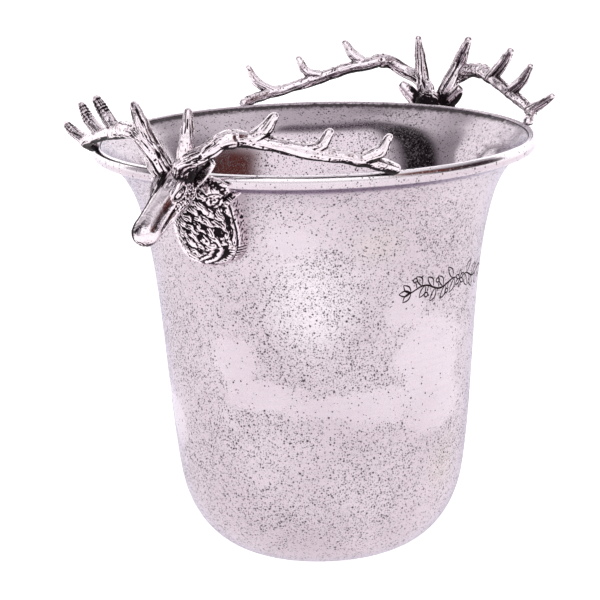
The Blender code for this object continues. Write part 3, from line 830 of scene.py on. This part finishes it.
def shell_rows():
    """Rows of points from base over lip to floor, as (radius, height), and how many of them are outside."""
    inner = spaced(CAD_OUTLINE[CREST:], 0.0034, 2)[1:]
    bead = spaced(CAD_OUTLINE[CREST:], 0.0003)
    bead = bead[1:][np.hypot(*(bead[1:] - bead[0]).T) < 0.0040]
    depth = np.hypot(*(bead - CAD_OUTLINE[CREST]).T)
    cut = 0.00055 * np.exp(-((depth - 0.0021) / 0.00034) ** 2)
    inner = np.vstack([bead + np.outer(cut, (0.70, -0.71)), inner[np.hypot(*(inner - bead[0]).T) > 0.0046]])
    outer = spaced(CAD_OUTLINE[:CREST + 1], ROW_SPACING, 2)
    base_rings = [(share * outer[0][0], 0.0) for share in (0.25, 0.5, 0.75)]
    floor_rings = [(share * inner[-1][0], inner[-1][1]) for share in (0.75, 0.5, 0.25)]
    rows = np.vstack([base_rings, outer, inner, floor_rings])
    return rows, len(base_rings) + len(outer)


def shell_mesh():
    """The lathe-turned shell, refined only where a stroke or a pit needs it."""
    rows, outer_rows = shell_rows()
    turns = np.linspace(0, math.tau, SHELL_COLUMNS, endpoint=False)
    rings = []
    for radius, height in rows:
        level = np.full(SHELL_COLUMNS, height)
        rings.append(np.stack([radius * np.sin(turns), -radius * np.cos(turns), level], 1))
    points = np.vstack(rings + [[(0, 0, rows[0][1])], [(0, 0, rows[-1][1])]])
    faces = ring_faces(len(rings), SHELL_COLUMNS)
    mesh = bpy.data.meshes.new(SHELL)
    mesh.from_pydata([tuple(point) for point in points], [], faces)
    form = bmesh.new()
    form.from_mesh(mesh)
    form.verts.ensure_lookup_table()
    outside = form.verts.layers.int.new("outside")
    for vert in form.verts:
        vert[outside] = 1 if vert.index < outer_rows * SHELL_COLUMNS else 0
    samples = [place for stroke in scroll_strokes() for place in stroke]
    lines = tree([(x, y, 0) for x, y, _ in samples])
    pits = pit_list()
    dots = tree([on_body(azimuth, height) for azimuth, height, _ in pits])

    def stroke_gap(point):
        x, y = around(math.atan2(point.x, -point.y), point.z)
        _, index, gap = lines.find((x, y, 0))
        return gap, samples[index][2]

    for level in range(4):
        size = 0.0023 / 2 ** level
        chosen = []
        for face in form.faces:
            if not all(vert[outside] for vert in face.verts):
                continue
            middle = face.calc_center_median()
            if not on_wall(middle):
                continue
            wanted = False
            if level < 3:
                _, index, gap = dots.find(middle)
                wanted = gap < pits[index][2] + 0.75 * size
            if not wanted and by_ornament(middle):
                gap, width = stroke_gap(middle)
                wanted = gap * MM < width * MM + 0.75 * size
            if wanted:
                chosen.append(face)
        edges = list({edge for face in chosen for edge in face.edges})
        made = bmesh.ops.subdivide_edges(form, edges=edges, cuts=1, use_grid_fill=True)
        for item in made["geom_inner"]:
            if isinstance(item, bmesh.types.BMVert):
                item[outside] = 1
                scale = body_radius(item.co.z) / math.hypot(item.co.x, item.co.y)
                item.co.x *= scale
                item.co.y *= scale
    mark = form.verts.layers.float.new("mark")
    inner_side = form.verts.layers.float.new("inner")
    # Painted shade under the lip outside and along the rim inside.
    painted_rim_shade = form.verts.layers.float.new("painted_rim_shade")
    for vert in form.verts:
        azimuth = math.atan2(vert.co.x, -vert.co.y)
        sunk = 0.0
        if vert[outside] and on_wall(vert.co):
            if by_ornament(vert.co):
                gap, width = stroke_gap(vert.co)
                share = max(0.0, 1 - (gap / width) ** 2)
                sunk = ENGRAVING_DEPTH * share
                vert[mark] = min(1.0, 1.5 * share)
            _, index, gap = dots.find(vert.co)
            share = max(0.0, 1 - (gap / pits[index][2]) ** 2)
            sunk = max(sunk, 0.55 * pits[index][2] * share)
            vert[mark] = max(vert[mark], min(1.0, 1.4 * share))
        drop = RIM_HEIGHT - vert.co.z
        if vert[outside]:
            # Painted shadow: a soft dark band just under the lip.
            under = 1 - min(1.0, abs(drop - 0.0086) / 0.0022)
            vert[painted_rim_shade] = 0.50 * under
        else:
            vert[inner_side] = 1.0
            reach = math.hypot(math.hypot(vert.co.x, vert.co.y) - CAD_OUTLINE[CREST][0], drop)
            # Painted shade inside: a band below the rim on the side away from the camera, and a thin painted
            # shade line along the groove under the bead.
            far_side = min(1.0, max(0.0, 0.4 + math.cos(azimuth - CAMERA_AZIMUTH - math.pi)))
            vert[painted_rim_shade] = max(0.95 * far_side * max(0.0, 1 - abs(reach - 0.0032) / 0.0034),
                              1.6 * max(0.0, 1 - abs(reach - 0.0021) / 0.00045))
        wobble = WOBBLE * noise.noise(vert.co * 14.0) * min(1.0, vert.co.z / 0.02)
        reach = math.hypot(vert.co.x, vert.co.y)
        if reach > 0.02:
            scale = (reach - sunk + wobble) / reach
            vert.co.x *= scale
            vert.co.y *= scale
    form.to_mesh(mesh)
    form.free()
    mesh.shade_smooth()
    return mesh


# Materials

class Nodes:
    """Short calls for building a material's node tree."""

    def __init__(self, name="", world=None):
        self.material = world or bpy.data.materials.new(name)
        self.material.use_nodes = True
        self.tree = self.material.node_tree
        self.surface = self.tree.nodes.get("Principled BSDF")
        self.place = self.add("ShaderNodeTexCoord").outputs["Object"]

    def add(self, kind, inputs=None, **settings):
        node = self.tree.nodes.new(kind)
        for key, value in settings.items():
            setattr(node, key, value)
        for key, value in (inputs or {}).items():
            self.feed(node.inputs[key], value)
        return node

    def feed(self, socket, value):
        if isinstance(value, bpy.types.NodeSocket):
            self.tree.links.new(value, socket)
        elif value is not None:
            socket.default_value = value

    def math(self, operation, a, b=None, c=None):
        node = self.add("ShaderNodeMath", operation=operation)
        for socket, value in zip(node.inputs, (a, b, c)):
            self.feed(socket, value)
        return node.outputs[0]

    def times(self, a, b):
        return self.math("MULTIPLY", a, b)

    def plus(self, a, b):
        return self.math("ADD", a, b)

    def minus(self, a, b):
        return self.math("SUBTRACT", a, b)

    def larger(self, a, b):
        return b if a is None else self.math("MAXIMUM", a, b)

    def turn_from(self, azimuth, centre):
        """The angle between an azimuth in radians and a centre in degrees, the short way round."""
        turn = self.math("ABSOLUTE", self.minus(azimuth, math.radians(centre)))
        return self.math("MINIMUM", turn, self.minus(math.tau, turn))

    def polar(self, vector):
        """A vector's azimuth, counted from -Y towards +X, and its height."""
        x, y, z = self.add("ShaderNodeSeparateXYZ", {0: vector}).outputs
        return self.math("ARCTAN2", x, self.times(y, -1.0)), z

    def noise(self, scale, detail=3.0, roughness=0.55, vector=None):
        inputs = {"Vector": vector or self.place, "Scale": scale, "Detail": detail, "Roughness": roughness}
        return self.add("ShaderNodeTexNoise", inputs).outputs["Fac"]

    def cells(self, scale):
        node = self.add("ShaderNodeTexVoronoi", {"Vector": self.place, "Scale": scale})
        return node.outputs["Distance"], node.outputs["Color"]

    def ramp(self, value, low, high, to_low=0.0, to_high=1.0):
        inputs = {"Value": value, "From Min": low, "From Max": high, "To Min": to_low, "To Max": to_high}
        return self.add("ShaderNodeMapRange", inputs, interpolation_type="SMOOTHSTEP").outputs["Result"]

    def mix(self, share, a, b, kind="RGBA"):
        """Mixes two colours."""
        inputs = {"Factor": share, "A": a, "B": b}
        return self.add("ShaderNodeMix", inputs, data_type=kind).outputs["Result"]

    def blend(self, share, a, b):
        """Mixes two numbers."""
        return self.mix(share, a, b, "FLOAT")

    def attribute(self, name):
        return self.add("ShaderNodeAttribute", attribute_name=name).outputs["Fac"]

    def bump(self, height, strength, distance):
        node = self.add("ShaderNodeBump", {"Height": height, "Strength": strength, "Distance": distance})
        self.feed(self.surface.inputs["Normal"], node.outputs["Normal"])

    def finish(self, colour, metallic, roughness):
        self.feed(self.surface.inputs["Base Color"], colour)
        self.feed(self.surface.inputs["Metallic"], metallic)
        self.feed(self.surface.inputs["Roughness"], roughness)
        return self.material


# Specks of the body: cells to a metre, size in a cell, share of the cells that hold one, and darkness
SPECKS = [(1000.0, 0.50, 1.0, 0.92), (640.0, 0.44, 0.66, 1.0), (380.0, 0.31, 0.28, 1.0)]


def bucket_metal():
    """Pale, silver-toned cast metal: cloudy satin polish, crowds of dark pits and polished-out patches, with
    painted shade under and inside the lip, a painted highlight on the lip and painted reflection where the
    surface is seen side-on.
    """
    m = Nodes("bucket_metal")
    azimuth, z = m.polar(m.place)
    ragged = m.minus(m.noise(55.0, 5.0, 0.65), 0.5)

    def zones(places, fray=1.7, low=1.35, high=0.75):
        best = None
        for centre, level, wide, tall in places:
            turn = m.math("DIVIDE", m.turn_from(azimuth, centre), math.radians(wide))
            rise = m.math("DIVIDE", m.minus(z, level), tall)
            reach = m.math("SQRT", m.plus(m.times(turn, turn), m.times(rise, rise)))
            best = m.larger(best, m.ramp(m.plus(reach, m.times(ragged, fray)), low, high))
        return best

    inner = m.attribute("inner")
    outer = m.minus(1.0, inner)
    lip = m.times(m.ramp(z, RIM_HEIGHT - 0.0085, RIM_HEIGHT - 0.0065), outer)
    smooth_patch = m.times(zones(POLISHED_PATCHES), outer)
    crowd = m.times(zones(PITTED_CROWDS), outer)
    density = m.ramp(m.noise(24.0, 5.0, 0.7), 0.36, 0.64, 0.38, 0.95)
    crowd = m.times(crowd, m.ramp(m.noise(60.0, 3.0), 0.3, 0.6, 0.6, 1.0))
    density = m.larger(density, crowd)
    density = m.times(density, m.blend(inner, m.blend(lip, 1.0, 0.25), 0.80))
    density = m.times(density, m.math("MULTIPLY_ADD", smooth_patch, -0.90, 1.0))
    specks = None
    for scale, size, share, depth in SPECKS:
        gap, colour = m.cells(scale)
        dice = m.add("ShaderNodeSeparateColor", {0: colour}).outputs
        radius = m.math("MULTIPLY_ADD", dice[1], 0.7 * size, 0.3 * size)
        here = m.math("LESS_THAN", dice[0], m.times(density, share))
        dot = m.times(m.ramp(m.math("DIVIDE", gap, radius), 1.25, 0.40), here)
        specks = m.larger(specks, m.times(dot, depth))
    marked = m.ramp(m.attribute("mark"), 0.10, 0.65)
    grit = m.ramp(m.noise(1500.0, 2.0, 0.6), 0.50, 0.74)
    grit = m.times(grit, m.math("MULTIPLY_ADD", density, 0.66, 0.02))
    blots = m.minus(m.noise(420.0, 5.0, 0.7), 0.5)
    # Painted shade under and inside the lip, from the vertex attribute, broken up by the blots.
    painted_rim_shade = m.ramp(m.math("MULTIPLY_ADD", blots, 1.3, m.attribute("painted_rim_shade")), 0.25, 0.85)
    # The dark marks: pits, grit and engraving, together with the painted lip shade.
    dark = m.larger(m.larger(m.times(specks, 0.94), grit), m.larger(marked, m.times(painted_rim_shade, 0.9)))
    streak_place = m.add("ShaderNodeCombineXYZ", {0: m.times(azimuth, 2.2), 1: m.times(z, 420.0)})
    streaks = m.noise(1.0, 4.0, 0.6, streak_place.outputs[0])
    clouds = m.noise(16.0, 3.0, 0.5)
    tone = m.mix(m.ramp(clouds, 0.32, 0.68), (0.625, 0.545, 0.595, 1), (0.72, 0.64, 0.69, 1))
    tone = m.mix(m.times(zones(BRIGHT_ZONES, 0.5, 1.6, 0.1), 0.9), tone, (0.86, 0.80, 0.84, 1))
    tone = m.mix(m.times(zones(STRAW_ZONES, 0.5, 1.5, 0.2), 0.30), tone, (0.66, 0.60, 0.55, 1))
    tone = m.mix(m.times(smooth_patch, 0.30), tone, (0.65, 0.58, 0.63, 1))
    tone = m.mix(m.ramp(streaks, 0.40, 0.75, 0.0, 0.14), tone, (0.48, 0.42, 0.47, 1))
    tone = m.mix(m.times(inner, 0.65), tone, (0.62, 0.55, 0.60, 1))
    # Painted highlight: the top of the lip outside is lighter.
    tone = m.mix(m.times(m.ramp(z, RIM_HEIGHT - 0.0048, RIM_HEIGHT - 0.0022), outer), tone,
                 (0.93, 0.88, 0.91, 1))
    # Painted shadow: a dark line under the lip outside.
    under = m.math("ABSOLUTE", m.minus(z, RIM_HEIGHT - 0.0095))
    under = m.times(m.ramp(under, 0.0026, 0.0004), outer)
    tone = m.mix(m.times(under, 0.80), tone, (0.17, 0.10, 0.19, 1))
    # Painted reflection: a lilac darkening where the surface is seen side-on.
    facing = m.add("ShaderNodeLayerWeight", {"Blend": 0.35}).outputs["Facing"]
    edge = m.times(m.ramp(facing, 0.44, 0.92), 0.80)
    tone = m.mix(edge, tone, (0.50, 0.46, 0.60, 1))
    colour = m.mix(dark, tone, (0.014, 0.007, 0.010, 1))
    rough = m.blend(m.ramp(clouds, 0.35, 0.7), 0.30, 0.40)
    rough = m.blend(smooth_patch, rough, 0.22)
    mirror = m.ramp(z, RIM_HEIGHT - 0.020, RIM_HEIGHT - 0.007, 0.10, 0.20)
    rough = m.blend(lip, m.blend(inner, rough, mirror), 0.15)
    rough = m.blend(dark, rough, 0.60)
    metallic = m.math("MULTIPLY_ADD", dark, -0.7, 1.0)
    m.feed(m.surface.inputs["Specular IOR Level"], m.blend(dark, 0.5, 0.08))
    relief = m.minus(m.times(m.noise(900.0, 2.0, 0.5), 0.10), m.times(specks, 0.9))
    relief = m.plus(relief, m.times(streaks, 0.06))
    m.bump(relief, m.blend(inner, 0.5, 0.05), 0.00016)
    return m.finish(colour, metallic, rough)


def casting_metal():
    """Antiqued casting: bright rubbed high points over recesses that are filled with black patina. The same
    attribute also carries painted shade on undersides and turned-away faces and painted light on upper faces.
    """
    m = Nodes("casting_metal")
    broken = m.minus(m.noise(900.0, 4.0, 0.65), 0.5)
    smudge = m.minus(m.noise(190.0, 3.0, 0.6), 0.5)
    depth = m.plus(m.attribute("patina_and_shade"), m.plus(m.times(broken, 0.45), m.times(smudge, 0.35)))
    # The attribute holds patina in the hollows and also painted shade and painted light, so this black patina
    # mask carries painted shade too.
    patina = m.ramp(depth, 0.38, 0.60)
    haze = m.ramp(depth, -0.05, 0.42, 0.0, 0.75)
    tone = m.mix(haze, (0.90, 0.82, 0.86, 1), (0.24, 0.15, 0.19, 1))
    colour = m.mix(patina, tone, (0.007, 0.003, 0.005, 1))
    rough = m.blend(patina, m.ramp(m.noise(260.0, 2.0), 0.3, 0.7, 0.15, 0.28), 0.55)
    metallic = m.minus(1.0, m.times(patina, 0.7))
    m.feed(m.surface.inputs["Specular IOR Level"], m.blend(patina, 0.5, 0.12))
    m.bump(m.noise(1500.0, 3.0, 0.6), 0.30, 0.00012)
    return m.finish(colour, metallic, rough)


def fixing_steel():
    m = Nodes("fixing_steel")
    scuffs = m.noise(700.0, 4.0, 0.65)
    tone = m.mix(m.ramp(scuffs, 0.4, 0.7), (0.62, 0.61, 0.63, 1), (0.38, 0.37, 0.39, 1))
    m.bump(scuffs, 0.2, 0.00008)
    return m.finish(tone, 1.0, m.ramp(scuffs, 0.3, 0.7, 0.22, 0.42))


def sealing_rubber():
    m = Nodes("sealing_rubber")
    dust = m.noise(500.0, 5.0, 0.7)
    tone = m.mix(m.ramp(dust, 0.5, 0.8), (0.016, 0.016, 0.017, 1), (0.06, 0.058, 0.056, 1))
    m.bump(dust, 0.3, 0.0001)
    return m.finish(tone, 0.0, m.ramp(dust, 0.3, 0.7, 0.62, 0.82))


# Assembly

def add_piece(name, mesh, material, node):
    """Shows a piece in place of its CAD node, on the one body there is."""
    piece = new_object(name, mesh)
    mesh.materials.clear()
    mesh.materials.append(material)
    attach(piece, "root")
    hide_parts(node)
    return piece


def build_object():
    metal, antique, steel, rubber = bucket_metal(), casting_metal(), fixing_steel(), sealing_rubber()
    add_piece("shell", shell_mesh(), metal, SHELL)
    head, neck = head_mesh(), neck_mesh()
    # The last value of each stag sets which way its antlers' painted light falls and how worn their tines
    # are.
    for stag, turn, left, right, wear_and_light in (("right", 0.0, REAR_LEFT, REAR_RIGHT, -0.7),
                                          ("left", math.pi, FRONT_LEFT, FRONT_RIGHT, 1)):
        castings = {
            "head": head,
            "neck": neck,
            "left_antler": antler_mesh("left_antler", bent(LEFT_ANTLER, *left), 1.7, 0.45 * wear_and_light),
            "right_antler": antler_mesh("right_antler", bent(RIGHT_ANTLER, *right), 6.1, 0.15 * wear_and_light),
        }
        place = Matrix.Translation((0, 0, RIM_HEIGHT)) @ Matrix.Rotation(turn, 4, "Z")
        for part, mesh in castings.items():
            turned_mesh = mesh.copy()
            turned_mesh.transform(place)
            turned_mesh.name = f"{stag}_{part}"
            add_piece(f"{stag}_{part}", turned_mesh, antique, f"{stag}_stag_{part}")
    for node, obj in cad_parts.items():
        for word, material in (("screw", steel), ("washer", rubber)):
            if word in node:
                obj.data.materials.clear()
                obj.data.materials.append(material)


# Stage

# Lamps: name, azimuth in degrees, height, distance, size and power
LAMPS = [
    ("key", -95, 1.5, 1.5, 0.7, 4.0),
    ("fill", 20, 1.2, 1.9, 1.0, 2.0),
    ("back", 140, 1.7, 1.6, 0.8, 2.5),
]


def build_stage():
    floor = bpy.data.meshes.new("floor")
    size = 6.0
    rows = spline([(-size, 0.0), (1.2, 0.0), (1.9, 0.12), (2.3, 0.6), (2.4, 3.0)], 8)
    across = np.array((math.cos(CAMERA_AZIMUTH), math.sin(CAMERA_AZIMUTH), 0))
    away = np.array((-math.sin(CAMERA_AZIMUTH), math.cos(CAMERA_AZIMUTH), 0))
    points = []
    for depth, height in rows:
        for side in (-size, size):
            points.append(tuple(away * depth + across * side + np.array((0, 0, height))))
    faces = [(2 * i, 2 * i + 1, 2 * i + 3, 2 * i + 2) for i in range(len(rows) - 1)]
    floor.from_pydata(points, [], faces)
    floor.shade_smooth()
    obj = new_object("floor", floor)
    paper = bpy.data.materials.new("backdrop")
    paper.use_nodes = True
    surface = paper.node_tree.nodes["Principled BSDF"].inputs
    surface["Base Color"].default_value = (0.93, 0.93, 0.93, 1)
    surface["Roughness"].default_value = 0.9
    surface["Emission Color"].default_value = (1, 1, 1, 1)
    surface["Emission Strength"].default_value = 0.42
    floor.materials.append(paper)

    build_world()
    for name, azimuth, rise, distance, size, power in LAMPS:
        light = bpy.data.lights.new(name, "AREA")
        light.shape = "SQUARE"
        light.size = size
        light.energy = power
        lamp = new_object(name, light)
        lamp.visible_glossy = False
        turn = math.radians(azimuth)
        lamp.location = (math.sin(turn) * distance, -math.cos(turn) * distance, rise)
        aim = Vector((0, 0, RIM_HEIGHT / 2)) - lamp.location
        lamp.rotation_euler = aim.to_track_quat("-Z", "Y").to_euler()


# Zones of the studio that the metal mirrors: azimuth and elevation with their half sizes and soft edge, in
# degrees, and their light
SKY_ZONES = [
    (0, 90, 180, 15, 5, (0.68, 0.64, 0.68)),
    (90, 20, 90, 30, 14, (0.38, 0.35, 0.38)),
    (-172, 22, 58, 22, 12, (0.38, 0.35, 0.38)),
    (-60, 40, 50, 27, 9, (1.30, 1.26, 1.30)),
    (-85, 68, 70, 7, 5, (0.03, 0.01, 0.03)),
    (-136, 54, 20, 9, 5, (0.006, 0.002, 0.006)),
    (-138, 28, 15, 30, 5, (0.005, 0.002, 0.004)),
    (28, 10, 24, 22, 9, (0.03, 0.015, 0.02)),
    (0, 24, 17, 15, 9, (0.12, 0.03, 0.022)),
    (122, 6, 30, 5, 4, (0.10, 0.08, 0.10)),
]


def build_world():
    """A light tent: a grey roof, a bright wall behind the camera and a few dark openings."""
    world = bpy.data.worlds.new("studio")
    bpy.context.scene.world = world
    world.use_nodes = True
    m = Nodes(world=world)
    azimuth, z = m.polar(m.add("ShaderNodeTexCoord").outputs["Generated"])
    rise = m.math("ARCSINE", z)
    light = m.mix(m.ramp(rise, 0.0, 0.9), (0.76, 0.74, 0.76, 1), (0.92, 0.89, 0.92, 1))
    for centre, level, wide, tall, edge, tone in SKY_ZONES:
        turn = m.turn_from(azimuth, centre)
        lift = m.math("ABSOLUTE", m.minus(rise, math.radians(level)))
        inside = m.times(m.ramp(turn, math.radians(wide + edge), math.radians(wide - edge)),
                         m.ramp(lift, math.radians(tall + edge), math.radians(tall - edge)))
        light = m.mix(inside, light, (*tone, 1))
    light = m.mix(m.add("ShaderNodeLightPath").outputs["Is Camera Ray"], light, (1, 1, 1, 1))
    m.feed(world.node_tree.nodes["Background"].inputs["Color"], light)
    world.node_tree.nodes["Background"].inputs["Strength"].default_value = 1.0


def build_camera():
    camera = bpy.data.cameras.new("camera")
    camera.sensor_width = CAMERA_SENSOR
    camera.lens = CAMERA_LENS
    camera.clip_end = 20.0
    obj = new_object("camera", camera)
    toward = Vector((-math.sin(CAMERA_AZIMUTH), math.cos(CAMERA_AZIMUTH), 0))
    right = Vector((math.cos(CAMERA_AZIMUTH), math.sin(CAMERA_AZIMUTH), 0))
    level = toward * math.cos(CAMERA_YAW) + right * math.sin(CAMERA_YAW)
    ahead = level * math.cos(CAMERA_PITCH) - Vector((0, 0, math.sin(CAMERA_PITCH)))
    flat_right = ahead.cross(Vector((0, 0, 1))).normalized()
    flat_up = flat_right.cross(ahead)
    tilted_right = flat_right * math.cos(CAMERA_ROLL) + flat_up * math.sin(CAMERA_ROLL)
    tilted_up = flat_up * math.cos(CAMERA_ROLL) - flat_right * math.sin(CAMERA_ROLL)
    place = Matrix((tilted_right, tilted_up, -ahead)).transposed().to_4x4()
    place.translation = -toward * CAMERA_DISTANCE + Vector((0, 0, RIM_HEIGHT + CAMERA_RISE))
    obj.matrix_world = place
    bpy.context.scene.camera = obj


build_object()
build_stage()
build_camera()
bpy.context.scene.view_settings.view_transform = "Standard"
